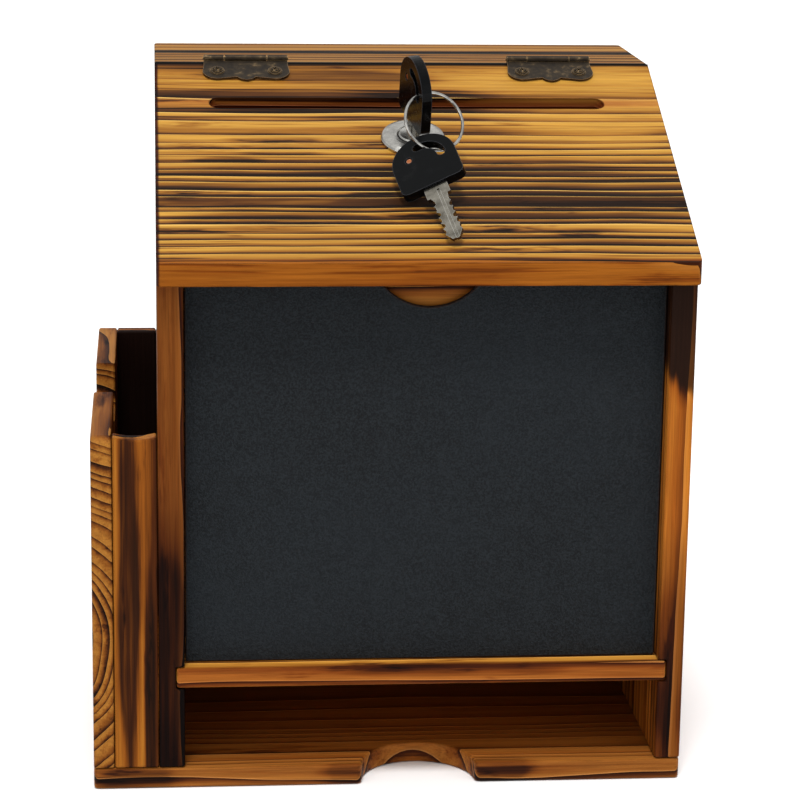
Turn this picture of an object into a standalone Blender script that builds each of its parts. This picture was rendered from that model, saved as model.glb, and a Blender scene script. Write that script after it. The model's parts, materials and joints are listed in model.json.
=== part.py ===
"""Donation box: a wooden cash box with a sloped, hinged, locking lid, a lift-out
chalkboard, a card tray under a shelf and an open pocket on the left side.

Units are metres, +Z is up and the front faces -Y. The origin is the middle of the
footprint at floor level. Run with: blender --background --python part.py
"""
import math

import bmesh
import bpy
from mathutils import Matrix, Vector

# ---- overall size -----------------------------------------------------------
BODY_W = 0.226          # the chest, over its side panels
POCKET_W = 0.028        # how far the side pocket stands out to the left
BODY_D = 0.2165         # front plane to back plane
LID_OVERHANG = 0.0075   # the lid past the front plane
TOP_Z = 0.2955          # the flat top behind the lid
LID_FRONT_Z = 0.2307    # the lid's front top edge
HINGE_FROM_FRONT = 0.1385

X_POCKET = -(BODY_W + POCKET_W) / 2
X_LEFT = X_POCKET + POCKET_W
X_RIGHT = X_LEFT + BODY_W
Y_LID = -(BODY_D + LID_OVERHANG) / 2
Y_FRONT = Y_LID + LID_OVERHANG
Y_BACK = Y_FRONT + BODY_D
Y_HINGE = Y_FRONT + HINGE_FROM_FRONT

# ---- boards -----------------------------------------------------------------
GAP = 0.0003            # between pieces that touch
SIDE_T = 0.011
BASE_T = 0.009
SHELF_T = 0.009
SHELF_Z = 0.045         # underside of the shelf
DADO = 0.0038           # depth of the housing that the shelf's ends sit in
BACK_T = 0.009
FRONT_T = 0.009
RAIL_T = 0.009
RAIL_D = 0.0415         # the top rail's depth, from the joint behind the lid
CAP_GAP = 0.001         # the dark line between the top rail and the rear cap
LID_T = 0.0089
LID_EDGE_GAP = 0.0008   # hinge axis plane to the lid's rear edge
RAIL_EDGE_GAP = 0.00075
POCKET_T = 0.0088
POCKET_Z = 0.1557
EASE = 0.0009           # softened board edges
CORNER_R = 0.002        # rounded corners at the front of the lid and the base

# ---- chalkboard, cut-outs and slot ------------------------------------------
CHALK_RECESS = 0.008
CHALK_T = 0.003
CHALK_TOP = 0.220
CHALK_SIDE_GAP = 0.0006
THUMB_R = 0.026
THUMB_LOW = 0.209       # lowest point of the thumb notch
CHALK_MID_X = X_LEFT + 0.1143
FINGER_X = X_LEFT + 0.1117
FINGER_R = 0.0245
FINGER_CORNER_R = 0.0025
POCKET_NOTCH = (0.082, 0.138, 0.020)   # from, to and depth of the grip notch
SLOT_X = X_LEFT + 0.1126
SLOT_LENGTH = 0.1775
SLOT_W = 0.009
SLOT_FROM_EDGE = 0.0346  # lid's rear edge to the slot's middle, down the slope

# ---- hinges -----------------------------------------------------------------
HINGE_XS = {"left": X_LEFT + 0.0412, "right": X_LEFT + 0.1797}
KNUCKLE_R = 0.0016
KNUCKLE_BORE = 0.001
PIN_R = 0.0007
HINGE_HALF = 0.019
MID_KNUCKLE_HALF = 0.0095
LEAF_T = 0.001
LEAF_LIFT = 0.0003
RAIL_LEAF_T = 0.0009
RAIL_LEAF_H = 0.0082
SCREW_X = 0.013
SCREW_FROM_EDGE = 0.0092
SCREW_R = 0.001
SCREW_HEAD_R = 0.0021
SCREW_LEN = 0.0072

# ---- lock and keys ----------------------------------------------------------
LOCK_X = X_LEFT + 0.1125
LOCK_FROM_EDGE = 0.0647
FLANGE_R = 0.01415
FLANGE_H = 0.003
BARREL_R = 0.0095
BARREL_LOW = -0.026
BORE_R = 0.0068
PLUG_R = 0.0065
PLUG_TOP = 0.0033
PLUG_LOW = -0.0285
CAM_T = 0.002
CAM_REACH = 0.027
CAM_W = 0.013
BATTEN = (-0.031, -0.017)   # across the slope, measured from the lock
BATTEN_H = 0.0125
KEY_TURN = math.radians(15)   # the key's plane, from straight down the slope
KEY_T = 0.002
KEY_NECK_W = 0.0105
KEY_NECK_L = 0.0065
KEY_BIT_W = 0.0076
KEY_BIT_L = 0.0265
HEAD_T = 0.0045
HEAD_R = 0.01425
HEAD_H = 0.030
HEAD_CORNER_R = 0.003
EYE_R = 0.008           # the curved eye's centre line, about the head's crown
EYE_W = 0.0039
RIVET_R = 0.0014
RING_WIRE = 0.0007
RING_R = 0.0132
RING_ROLL = math.radians(-16)

SLOPE = math.atan2(TOP_Z - LID_FRONT_Z, Y_HINGE - LID_EDGE_GAP - Y_LID)
LID_DROP = LID_T / math.cos(SLOPE)     # the lid's thickness, measured upright
LID_EDGE = Vector((0.0, Y_HINGE - LID_EDGE_GAP, TOP_Z))
UP_SLOPE = Vector((0.0, math.cos(SLOPE), math.sin(SLOPE)))
LID_NORMAL = Vector((0.0, -math.sin(SLOPE), math.cos(SLOPE)))
HINGE_AXIS = Vector((0.0, Y_HINGE, TOP_Z + GAP + KNUCKLE_R))


# ---- small helpers ----------------------------------------------------------
def clear_scene():
    for obj in list(bpy.data.objects):
        bpy.data.objects.remove(obj, do_unlink=True)


def material(name, color, roughness, metallic=0.0):
    mat = bpy.data.materials.new(name)
    mat.use_nodes = True
    shader = mat.node_tree.nodes["Principled BSDF"]
    shader.inputs["Base Color"].default_value = (*color, 1.0)
    shader.inputs["Roughness"].default_value = roughness
    shader.inputs["Metallic"].default_value = metallic
    return mat


def wood(name):
    return material(name, (0.52, 0.29, 0.11), 0.55)


def bronze(name):
    return material(name, (0.16, 0.11, 0.07), 0.42, 1.0)


def nickel(name):
    return material(name, (0.62, 0.61, 0.58), 0.28, 1.0)


def steel(name):
    return material(name, (0.66, 0.65, 0.63), 0.3, 1.0)


def black_plastic(name):
    return material(name, (0.012, 0.012, 0.014), 0.38)


def frame_at(origin, x_axis, y_axis, z_axis):
    """Matrix that carries local points to a place with these three axes."""
    turn = Matrix((x_axis, y_axis, z_axis)).transposed().to_4x4()
    return Matrix.Translation(origin) @ turn


def lid_frame(x, down):
    """On the lid's top face: X across, Y up the slope, Z out of the lid."""
    origin = LID_EDGE - UP_SLOPE * down + Vector((x, 0.0, 0.0))
    return frame_at(origin, Vector((1, 0, 0)), UP_SLOPE, LID_NORMAL)


def arc(cx, cy, r, start, stop, steps):
    """Points on an arc, in degrees, both ends included."""
    turn = [math.radians(start + (stop - start) * i / steps) for i in range(steps + 1)]
    return [(cx + r * math.cos(a), cy + r * math.sin(a)) for a in turn]


def prism(outline, low, high, axes="XYZ"):
    """Extrude a closed outline: axes names the outline's two axes, then the depth."""
    place = ["XYZ".index(letter) for letter in axes]
    bm = bmesh.new()
    rings = []
    for depth in (low, high):
        ring = []
        for u, v in outline:
            point = [0.0, 0.0, 0.0]
            point[place[0]], point[place[1]], point[place[2]] = u, v, depth
            ring.append(bm.verts.new(point))
        rings.append(ring)
    count = len(outline)
    bm.faces.new(rings[0])
    bm.faces.new(rings[1])
    for i in range(count):
        j = (i + 1) % count
        bm.faces.new((rings[0][i], rings[0][j], rings[1][j], rings[1][i]))
    bmesh.ops.recalc_face_normals(bm, faces=bm.faces)
    return bm


def block(x0, x1, y0, y1, z0, z1):
    return prism([(x0, y0), (x1, y0), (x1, y1), (x0, y1)], z0, z1)


def spin(profile, segments=40):
    """Turn a closed (radius, height) profile about Z into a solid."""
    bm = bmesh.new()
    rings = []
    for r, z in profile:
        if r < 1e-7:
            rings.append([bm.verts.new((0.0, 0.0, z))])
            continue
        angles = [2 * math.pi * i / segments for i in range(segments)]
        rings.append([bm.verts.new((r * math.cos(a), r * math.sin(a), z)) for a in angles])
    pairs = list(zip(rings, rings[1:]))
    if len(rings[0]) > 1 and len(rings[-1]) > 1:
        pairs.append((rings[-1], rings[0]))
    for lower, upper in pairs:
        for i in range(segments):
            j = (i + 1) % segments
            if len(lower) == 1 and len(upper) == 1:
                break
            if len(lower) == 1:
                bm.faces.new((lower[0], upper[j], upper[i]))
            elif len(upper) == 1:
                bm.faces.new((lower[i], lower[j], upper[0]))
            else:
                bm.faces.new((lower[i], lower[j], upper[j], upper[i]))
    bmesh.ops.recalc_face_normals(bm, faces=bm.faces)
    return bm


def round_bar(radius, z0, z1, segments=32):
    return spin([(0.0, z0), (radius, z0), (radius, z1), (0.0, z1)], segments)


def torus(ring_r, wire_r, around=56, across=10):
    profile = [(ring_r + wire_r * math.cos(2 * math.pi * i / across),
                wire_r * math.sin(2 * math.pi * i / across)) for i in range(across)]
    return spin(profile, around)


def along_x(bm):
    """Turn a Z-axis body so that it runs along X."""
    bm.transform(Matrix.Rotation(math.radians(90), 4, "Y"))
    return bm


def round_upright_edges(bm, corners, radius, tolerance=1e-5):
    """Round the upright edges that stand at the given (x, y) corners."""
    chosen = []
    for edge in bm.edges:
        a, b = (v.co for v in edge.verts)
        upright = (a.xy - b.xy).length < tolerance
        if upright and any((a.xy - Vector(c)).length < tolerance for c in corners):
            chosen.append(edge)
    bmesh.ops.bevel(bm, geom=chosen, offset=radius, segments=4, profile=0.5,
                    affect="EDGES")
    return bm


def add_object(name, bm, mat, origin=(0.0, 0.0, 0.0), smooth=False):
    """Make an object from world-space geometry, with its origin at a joint or pivot."""
    origin = Vector(origin)
    bm.transform(Matrix.Translation(-origin))
    mesh = bpy.data.meshes.new(name)
    bm.to_mesh(mesh)
    bm.free()
    obj = bpy.data.objects.new(name, mesh)
    obj.location = origin
    bpy.context.scene.collection.objects.link(obj)
    mesh.materials.append(mat)
    if smooth:
        mesh.polygons.foreach_set("use_smooth", [True] * len(mesh.polygons))
    return obj


def combine(obj, bm, operation="DIFFERENCE"):
    """Cut a world-space body out of an object, or join it on."""
    cutter = add_object(obj.name + "_cutter", bm, obj.data.materials[0])
    cutter.hide_render = True
    cutter.display_type = "WIRE"
    cut = obj.modifiers.new("cut", "BOOLEAN")
    cut.object = cutter
    cut.operation = operation
    cut.solver = "EXACT"
    return cut


def ease_edges(obj, width=EASE, segments=2, angle=40):
    bevel = obj.modifiers.new("ease", "BEVEL")
    bevel.width = width
    bevel.segments = segments
    bevel.limit_method = "ANGLE"
    bevel.angle_limit = math.radians(angle)
    bevel.use_clamp_overlap = True
    return bevel


# ---- chest ------------------------------------------------------------------
def lid_underside(y):
    """Height of the closed lid's underside at depth y."""
    return TOP_Z - LID_DROP - (LID_EDGE.y - y) * math.tan(SLOPE)


def make_base():
    """Base board under the chest and the pocket, with the finger cut-out."""
    r, corner = FINGER_R, FINGER_CORNER_R
    side = r + corner
    drop = 0.0008
    cut = [(FINGER_X - side, Y_FRONT)]
    cut += arc(FINGER_X - side, Y_FRONT + corner, corner, -90, -12, 4)
    cut += arc(FINGER_X, Y_FRONT + drop, r, 180 - 6, 6, 24)
    cut += arc(FINGER_X + side, Y_FRONT + corner, corner, -168, -90, 4)
    outline = [(X_POCKET, Y_FRONT)] + cut[1:]
    outline += [(X_RIGHT, Y_FRONT), (X_RIGHT, Y_BACK), (X_POCKET, Y_BACK)]
    bm = prism(outline, 0.0, BASE_T)
    corners = [(X_POCKET, Y_FRONT), (X_RIGHT, Y_FRONT)]
    round_upright_edges(bm, corners, CORNER_R)
    board = add_object("base_board", bm, wood("base_board"))
    ease_edges(board)


def make_side(name, x0, x1, dado_x):
    low = BASE_T + GAP
    rail_low = TOP_Z - RAIL_T - GAP
    turn_y = Y_HINGE - LID_EDGE_GAP
    outline = [
        (Y_FRONT, low),
        (Y_FRONT, lid_underside(Y_FRONT) - GAP),
        (turn_y, lid_underside(turn_y) - GAP),
        (turn_y + LID_EDGE_GAP, rail_low),
        (Y_BACK, rail_low),
        (Y_BACK, low),
    ]
    side = add_object(name, prism(outline, x0, x1, "YZX"), wood(name))
    housing = block(*dado_x, Y_FRONT - 0.01, Y_BACK - BACK_T + 2 * GAP,
                    SHELF_Z - GAP, SHELF_Z + SHELF_T + GAP)
    combine(side, housing)
    ease_edges(side)


def make_chest():
    make_base()
    inner_l, inner_r = X_LEFT + SIDE_T, X_RIGHT - SIDE_T
    make_side("left_side_panel", X_LEFT, inner_l, (inner_l - DADO, inner_l + 0.01))
    make_side("right_side_panel", inner_r, X_RIGHT, (inner_r - 0.01, inner_r + DADO))
    x0, x1 = inner_l + GAP, inner_r - GAP
    back_y = Y_BACK - BACK_T
    back = block(x0, x1, back_y, Y_BACK, BASE_T + GAP, TOP_Z - RAIL_T - GAP)
    ease_edges(add_object("back_panel", back, wood("back_panel")))

    shelf = block(x0 - DADO, x1 + DADO, Y_FRONT, back_y - GAP, SHELF_Z, SHELF_Z + SHELF_T)
    ease_edges(add_object("divider_shelf", shelf, wood("divider_shelf")), 0.0011)

    panel_y = Y_FRONT + CHALK_RECESS + CHALK_T + 2 * GAP
    low = SHELF_Z + SHELF_T + GAP
    outline = [
        (panel_y, low),
        (panel_y, lid_underside(panel_y) - 2 * GAP),
        (panel_y + FRONT_T, lid_underside(panel_y + FRONT_T) - 2 * GAP),
        (panel_y + FRONT_T, low),
    ]
    panel = add_object("front_panel", prism(outline, x0, x1, "YZX"), wood("front_panel"))
    ease_edges(panel, 0.0006)

    rail_y = Y_HINGE + RAIL_EDGE_GAP
    rail = block(X_LEFT, X_RIGHT, rail_y, rail_y + RAIL_D, TOP_Z - RAIL_T, TOP_Z)
    rail = add_object("top_rail", rail, wood("top_rail"))
    for x in HINGE_XS.values():
        for side in (-1, 1):
            hole = round_bar(SCREW_R + GAP, -0.001, SCREW_LEN + 2 * GAP, 20)
            hole.transform(rail_screw_frame(x + side * SCREW_X))
            combine(rail, hole)
    ease_edges(rail, 0.0006)

    cap_y = rail_y + RAIL_D + CAP_GAP
    cap = block(X_LEFT, X_RIGHT, cap_y, Y_BACK, TOP_Z - RAIL_T, TOP_Z)
    corners = [(X_LEFT, Y_BACK), (X_RIGHT, Y_BACK)]
    round_upright_edges(cap, corners, CORNER_R)
    ease_edges(add_object("rear_cap", cap, wood("rear_cap")), 0.0006)

    batten = block(x0, x1, BATTEN[0], BATTEN[1], -LID_T - 0.0008 - BATTEN_H,
                   -LID_T - 0.0008)
    batten.transform(lid_frame(0.0, LOCK_FROM_EDGE))
    ease_edges(add_object("catch_batten", batten, wood("catch_batten")), 0.0006)


def make_chalkboard():
    """Thin painted board with a thumb notch, standing on the shelf."""
    x0 = X_LEFT + SIDE_T + CHALK_SIDE_GAP
    x1 = X_RIGHT - SIDE_T - CHALK_SIDE_GAP
    low = SHELF_Z + SHELF_T + GAP
    rise = CHALK_TOP - (THUMB_LOW + THUMB_R)
    start = math.degrees(math.asin(rise / THUMB_R))
    notch = arc(CHALK_MID_X, THUMB_LOW + THUMB_R, THUMB_R, start, -180 - start, 20)
    outline = [(x0, low), (x1, low), (x1, CHALK_TOP)] + notch + [(x0, CHALK_TOP)]
    y0 = Y_FRONT + CHALK_RECESS
    board = prism(outline, y0, y0 + CHALK_T, "XZY")
    mat = material("chalkboard", (0.018, 0.021, 0.024), 0.72)
    board = add_object("chalkboard", board, mat, (CHALK_MID_X, y0, low))
    ease_edges(board, 0.0004, 1)


def make_pocket():
    """Side pocket: outer board with a grip notch, front board and back board."""
    low = BASE_T + GAP
    x1 = X_POCKET + POCKET_T
    start, stop, depth = POCKET_NOTCH
    r = 0.006
    floor = POCKET_Z - depth
    y0, y1 = Y_FRONT + start, Y_FRONT + stop
    front_r = 0.004
    outline = [(Y_FRONT, low)]
    outline += arc(Y_FRONT + front_r, POCKET_Z - front_r, front_r, 180, 90, 4)
    outline += [(y0, POCKET_Z)]
    outline += arc(y0 + r, floor + r, r, 180, 270, 5)
    outline += arc(y1 - r, floor + r, r, 270, 360, 5)
    outline += [(y1, POCKET_Z), (Y_BACK, POCKET_Z), (Y_BACK, low)]
    outer = prism(outline, X_POCKET, x1, "YZX")
    ease_edges(add_object("pocket_outer_board", outer, wood("pocket_outer_board")))

    x0, x1 = x1 + GAP, X_LEFT - GAP
    dish = 0.0012
    mid, half = (x0 + x1) / 2, (x1 - x0) / 2
    steps = range(7)
    top = [(x1 - 2 * half * i / 6, POCKET_Z - dish * (1 - ((i - 3) / 3) ** 2)) for i in steps]
    front = prism([(x0, low), (x1, low)] + top, Y_FRONT, Y_FRONT + POCKET_T, "XZY")
    ease_edges(add_object("pocket_front_board", front, wood("pocket_front_board")))
    back = block(x0, x1, Y_BACK - POCKET_T, Y_BACK, low, POCKET_Z)
    ease_edges(add_object("pocket_back_board", back, wood("pocket_back_board")))


# ---- lid and hinges ---------------------------------------------------------
def make_lid():
    rear_y = LID_EDGE.y
    outline = [
        (Y_LID, LID_FRONT_Z),
        (Y_LID, LID_FRONT_Z - LID_DROP),
        (rear_y, TOP_Z - LID_DROP),
        (rear_y, TOP_Z),
    ]
    bm = prism(outline, X_LEFT, X_RIGHT, "YZX")
    round_upright_edges(bm, [(X_LEFT, Y_LID), (X_RIGHT, Y_LID)], CORNER_R)
    lid = add_object("lid", bm, wood("lid"), HINGE_AXIS)

    half, r = SLOT_LENGTH / 2, SLOT_W / 2
    ends = arc(half - r, 0, r, -90, 90, 10) + arc(r - half, 0, r, 90, 270, 10)
    slot = prism(ends, -0.02, 0.01)
    slot.transform(lid_frame(SLOT_X, SLOT_FROM_EDGE))
    combine(lid, slot)
    hole = round_bar(BARREL_R + GAP, -0.02, 0.01, 40)
    hole.transform(lid_frame(LOCK_X, LOCK_FROM_EDGE))
    combine(lid, hole)
    for x in HINGE_XS.values():
        for side in (-1, 1):
            pilot = round_bar(SCREW_R + GAP, -SCREW_LEN - GAP, 0.002, 20)
            pilot.transform(lid_frame(x + side * SCREW_X, SCREW_FROM_EDGE))
            combine(lid, pilot)
    ease_edges(lid)


def leaf_outline():
    """Shaped hinge leaf, seen from above: the knuckles are at the top."""
    neck, tuck = 0.0012, -0.0005
    notch = MID_KNUCKLE_HALF + 2 * GAP
    points = [(notch, tuck), (notch, neck), (HINGE_HALF, neck)]
    points += [(HINGE_HALF, -0.0035)]
    points += arc(SCREW_X, -SCREW_FROM_EDGE, 0.0066, 12, -108, 12)
    points += arc(0.0, -0.0121, 0.0046, -28, -90, 5)
    mirrored = [(-x, y) for x, y in reversed(points[:-1])]
    return points + mirrored


def make_hinge(side, x):
    axis = Vector((x, HINGE_AXIS.y, HINGE_AXIS.z))
    half, mid = HINGE_HALF, MID_KNUCKLE_HALF
    name = side + "_hinge_lid_leaf"
    plate = prism(leaf_outline(), LEAF_LIFT, LEAF_LIFT + LEAF_T)
    plate.transform(lid_frame(x, 0.0))
    leaf = add_object(name, plate, bronze(name), axis)
    for end in (-1, 1):
        collar = spin([(SCREW_R + GAP, 0.0006), (0.0034, 0.0006), (0.0031, 0.0018),
                       (0.0025, 0.0018)], 28)
        collar.transform(lid_frame(x + end * SCREW_X, SCREW_FROM_EDGE))
        combine(leaf, collar, "UNION")
    for z0, z1 in ((mid + GAP, half), (-half, -mid - GAP)):
        tube = along_x(round_bar(KNUCKLE_R, z0, z1, 28))
        tube.transform(Matrix.Translation(axis))
        combine(leaf, tube, "UNION")
    bore = along_x(round_bar(KNUCKLE_BORE, -half - 0.001, half + 0.001, 20))
    bore.transform(Matrix.Translation(axis))
    combine(leaf, bore)
    for end in (-1, 1):
        hole = spin([(0.0, -0.001), (SCREW_R + GAP, -0.001), (SCREW_R + GAP, 0.0012),
                     (SCREW_HEAD_R + GAP, 0.0016), (SCREW_HEAD_R + GAP, 0.003),
                     (0.0, 0.003)], 28)
        hole.transform(lid_frame(x + end * SCREW_X, SCREW_FROM_EDGE))
        combine(leaf, hole)

    name = side + "_hinge_rail_leaf"
    y0 = axis.y - RAIL_LEAF_T / 2
    plate = block(x - half, x + half, y0, y0 + RAIL_LEAF_T, TOP_Z - RAIL_LEAF_H,
                  TOP_Z - 0.00025)
    leaf = add_object(name, plate, bronze(name), axis)
    lug = block(x - mid, x + mid, y0, y0 + RAIL_LEAF_T, TOP_Z - 0.002, TOP_Z + 0.0012)
    combine(leaf, lug, "UNION")
    tube = along_x(round_bar(KNUCKLE_R, -mid, mid, 28))
    tube.transform(Matrix.Translation(axis))
    combine(leaf, tube, "UNION")
    bore = along_x(round_bar(KNUCKLE_BORE, -half, half, 20))
    bore.transform(Matrix.Translation(axis))
    combine(leaf, bore)
    for end in (-1, 1):
        hole = round_bar(SCREW_R + 0.0008, -0.003, 0.003, 20)
        hole.transform(rail_screw_frame(x + end * SCREW_X))
        combine(leaf, hole)

    name = side + "_hinge_pin"
    pin = along_x(round_bar(PIN_R, -half - 0.0004, half + 0.0004, 20))
    pin.transform(Matrix.Translation(axis))
    add_object(name, pin, bronze(name), axis, smooth=False)


def rail_screw_frame(x):
    """At the rail's front edge: Z runs back into the rail."""
    origin = Vector((x, Y_HINGE + RAIL_EDGE_GAP, TOP_Z - 0.0052))
    return frame_at(origin, Vector((1, 0, 0)), Vector((0, 0, -1)), Vector((0, 1, 0)))


def make_screws():
    number = 0
    for side, x in HINGE_XS.items():
        for end, label in ((-1, "a"), (1, "b")):
            name = side + "_lid_screw_" + label
            top = LEAF_LIFT + LEAF_T + 0.0013
            body = spin([(0.0, -SCREW_LEN), (SCREW_R * 0.7, -SCREW_LEN + 0.0008),
                         (SCREW_R, -SCREW_LEN + 0.002), (SCREW_R, 0.0014),
                         (SCREW_HEAD_R, 0.0019), (SCREW_HEAD_R * 0.93, top - 0.0004),
                         (SCREW_HEAD_R * 0.6, top), (0.0, top + 0.0001)], 24)
            place = lid_frame(x + end * SCREW_X, SCREW_FROM_EDGE)
            body.transform(place)
            screw = add_object(name, body, bronze(name), place.translation)
            turn = Matrix.Rotation(math.radians(25 + 40 * number), 4, "Z")
            for a, b in ((0.0013, 0.0003), (0.0003, 0.0013)):
                cross = block(-a, a, -b, b, top - 0.0008, top + 0.001)
                cross.transform(place @ turn)
                combine(screw, cross)
            number += 1

            name = side + "_rail_screw_" + label
            body = spin([(0.0, SCREW_LEN), (SCREW_R * 0.7, SCREW_LEN - 0.0008),
                         (SCREW_R, SCREW_LEN - 0.002), (SCREW_R, -0.0004),
                         (SCREW_R + 0.0005, -0.0007), (SCREW_R + 0.0005, -0.0011),
                         (0.0, -0.0011)], 24)
            place = rail_screw_frame(x + end * SCREW_X)
            body.transform(place)
            add_object(name, body, bronze(name), place.translation)


# ---- lock and keys ----------------------------------------------------------
def lock_point(across, up, out):
    return lid_frame(LOCK_X, LOCK_FROM_EDGE) @ Vector((across, up, out))


def lock_direction(across, up, out):
    turn = lid_frame(LOCK_X, LOCK_FROM_EDGE).to_3x3()
    return (turn @ Vector((across, up, out))).normalized()


def make_lock():
    place = lid_frame(LOCK_X, LOCK_FROM_EDGE)
    origin = place.translation
    flange = [(BORE_R, BARREL_LOW), (BARREL_R, BARREL_LOW), (BARREL_R, GAP),
              (FLANGE_R, GAP), (FLANGE_R, 0.0012), (FLANGE_R - 0.0006, 0.002),
              (FLANGE_R - 0.0022, 0.0027), (BORE_R + 0.0024, FLANGE_H),
              (BORE_R + 0.0006, FLANGE_H), (BORE_R, FLANGE_H - 0.0006)]
    body = spin(flange, 56)
    body.transform(place)
    add_object("lock_body", body, nickel("lock_body"), origin)

    nut_low, nut_high = -LID_T - GAP - 0.004, -LID_T - GAP
    nut = prism(arc(0, 0, 0.0125, 0, 300, 5), nut_low, nut_high)
    nut.transform(place)
    nut = add_object("lock_nut", nut, nickel("lock_nut"), origin)
    thread = round_bar(BARREL_R + GAP, nut_low - 0.001, nut_high + 0.001, 40)
    thread.transform(place)
    combine(nut, thread)
    ease_edges(nut, 0.0004, 1)

    plug = spin([(0.0, PLUG_LOW), (PLUG_R, PLUG_LOW), (PLUG_R, PLUG_TOP - 0.0005),
                 (PLUG_R - 0.0005, PLUG_TOP), (0.0, PLUG_TOP)], 40)
    plug.transform(place)
    plug = add_object("lock_plug", plug, nickel("lock_plug"), origin)
    half_w, half_t = KEY_BIT_W / 2 + GAP, KEY_T / 2 + GAP
    low = PLUG_TOP - KEY_BIT_L - 0.001
    keyway = block(-half_w, half_w, -half_t, half_t, low, PLUG_TOP + 0.002)
    keyway.transform(place @ key_turn_matrix())
    combine(plug, keyway)

    top = PLUG_LOW - GAP
    bolt = 0.0021
    arm = arc(0, 0, CAM_W / 2, -90, 90, 10)
    end_r = CAM_W / 2 - 0.0015
    arm += arc(-CAM_REACH + end_r, 0, end_r, 90, 270, 10)
    cam = prism(arm, top - CAM_T, top)
    cam.transform(place)
    cam = add_object("lock_cam", cam, steel("lock_cam"), origin)
    hole = round_bar(bolt + GAP, top - CAM_T - 0.001, top + 0.001, 20)
    hole.transform(place)
    combine(cam, hole)
    ease_edges(cam, 0.0003, 1)

    low = top - CAM_T - GAP
    screw = spin([(0.0, low - 0.0022), (0.0034, low - 0.0022), (0.0039, low - 0.0016),
                  (0.0039, low), (bolt, low), (bolt, PLUG_LOW + 0.002),
                  (0.0, PLUG_LOW + 0.002)], 28)
    screw.transform(place)
    add_object("cam_screw", screw, steel("cam_screw"), origin)
    pilot = round_bar(bolt + GAP, PLUG_LOW - 0.001, PLUG_LOW + 0.0023, 20)
    pilot.transform(place)
    combine(plug, pilot)


def key_turn_matrix():
    """Turn about the lock's axis that brings local X to the key's front edge."""
    return Matrix.Rotation(KEY_TURN - math.pi / 2, 4, "Z")


def head_outline():
    """Key head in its own plane: X across, Y up from its lower edge."""
    crown = HEAD_H - HEAD_R
    r = HEAD_CORNER_R
    points = arc(HEAD_R - r, r, r, -90, 0, 4)
    points += arc(0, crown, HEAD_R, 0, 180, 24)
    points += arc(r - HEAD_R, r, r, 180, 270, 4)
    return points


def eye_outline():
    """Curved eye near the crown, on the head's +X side."""
    crown = HEAD_H - HEAD_R
    start, stop, r = 0, 98, EYE_W / 2
    points = arc(0, crown, EYE_R + r, start, stop, 12)
    end = arc(0, crown, EYE_R, stop, stop, 1)[0]
    points += arc(*end, r, stop, stop + 180, 6)[1:-1]
    points += arc(0, crown, EYE_R - r, stop, start, 12)
    end = arc(0, crown, EYE_R, start, start, 1)[0]
    points += arc(*end, r, start + 180, start + 360, 6)[1:-1]
    return points


def bit_outline():
    """Blade in its own plane, pointing down from the head: neck, then cut bit."""
    tang, half, bit = 0.006, KEY_NECK_W / 2, KEY_BIT_W / 2
    shoulder = -KEY_NECK_L
    tip = shoulder - KEY_BIT_L
    right_cuts = (0.0004, 0.0013, 0.0007, 0.0016, 0.0010, 0.0006)
    left_cuts = (0.0011, 0.0005, 0.0015, 0.0008, 0.0014, 0.0007)
    right = []
    left = []
    pitch = 0.0035
    for i in range(6):
        y = shoulder - 0.0035 - pitch * i
        right += [(bit - right_cuts[i], y + 0.0005), (bit - right_cuts[i], y - 0.0009),
                  (bit, y - 0.0017)]
        left += [(-bit + left_cuts[i], y + 0.0005), (-bit + left_cuts[i], y - 0.0009),
                 (-bit, y - 0.0017)]
    points = [(-half * 0.7, tang), (-half * 0.7, 0.0), (-half, 0.0), (-half, shoulder)]
    points += [(-bit, shoulder)] + left + [(-0.0016, tip), (0.0016, tip)]
    points += right[::-1] + [(bit, shoulder), (half, shoulder), (half, 0.0)]
    points += [(half * 0.7, 0.0), (half * 0.7, tang)]
    return points


def make_key(prefix, place, origin):
    """One key. Its own frame: X across the head, Y up, Z through the thickness."""
    head = prism(head_outline(), -HEAD_T / 2, HEAD_T / 2)
    head.transform(place)
    head = add_object(prefix + "_head", head, black_plastic(prefix + "_head"), origin)
    eye = prism(eye_outline(), -HEAD_T, HEAD_T)
    eye.transform(place)
    combine(head, eye)
    crown = HEAD_H - HEAD_R
    rivet_at = Matrix.Translation((-0.0062, crown + 0.0028, 0.0))
    hole = round_bar(RIVET_R + GAP, -HEAD_T, HEAD_T, 20)
    hole.transform(place @ rivet_at)
    combine(head, hole)
    half = KEY_NECK_W * 0.35 + GAP
    socket = block(-half, half, -0.001, 0.006 + GAP, -KEY_T / 2 - GAP, KEY_T / 2 + GAP)
    socket.transform(place)
    combine(head, socket)
    ease_edges(head, 0.0009, 2)

    rivet = spin([(0.0, -0.0020), (RIVET_R * 0.8, -0.0020), (RIVET_R, -0.0016),
                  (RIVET_R, 0.0016), (RIVET_R * 0.8, 0.0020), (0.0, 0.0020)], 20)
    rivet.transform(place @ rivet_at)
    mat = material(prefix + "_rivet", (0.48, 0.22, 0.10), 0.35, 1.0)
    add_object(prefix + "_rivet", rivet, mat, origin)

    blade = prism(bit_outline(), -KEY_T / 2, KEY_T / 2)
    blade.transform(place)
    blade = add_object(prefix + "_blade", blade, steel(prefix + "_blade"), origin)
    for side in (-1, 1):
        face = side * KEY_T / 2
        groove = block(-0.0007, 0.0007, -KEY_NECK_L - KEY_BIT_L - 0.001, -0.0025,
                       face - 0.0005, face + 0.0005)
        groove.transform(place @ Matrix.Translation((side * 0.0006, 0.0, 0.0)))
        combine(blade, groove)


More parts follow.
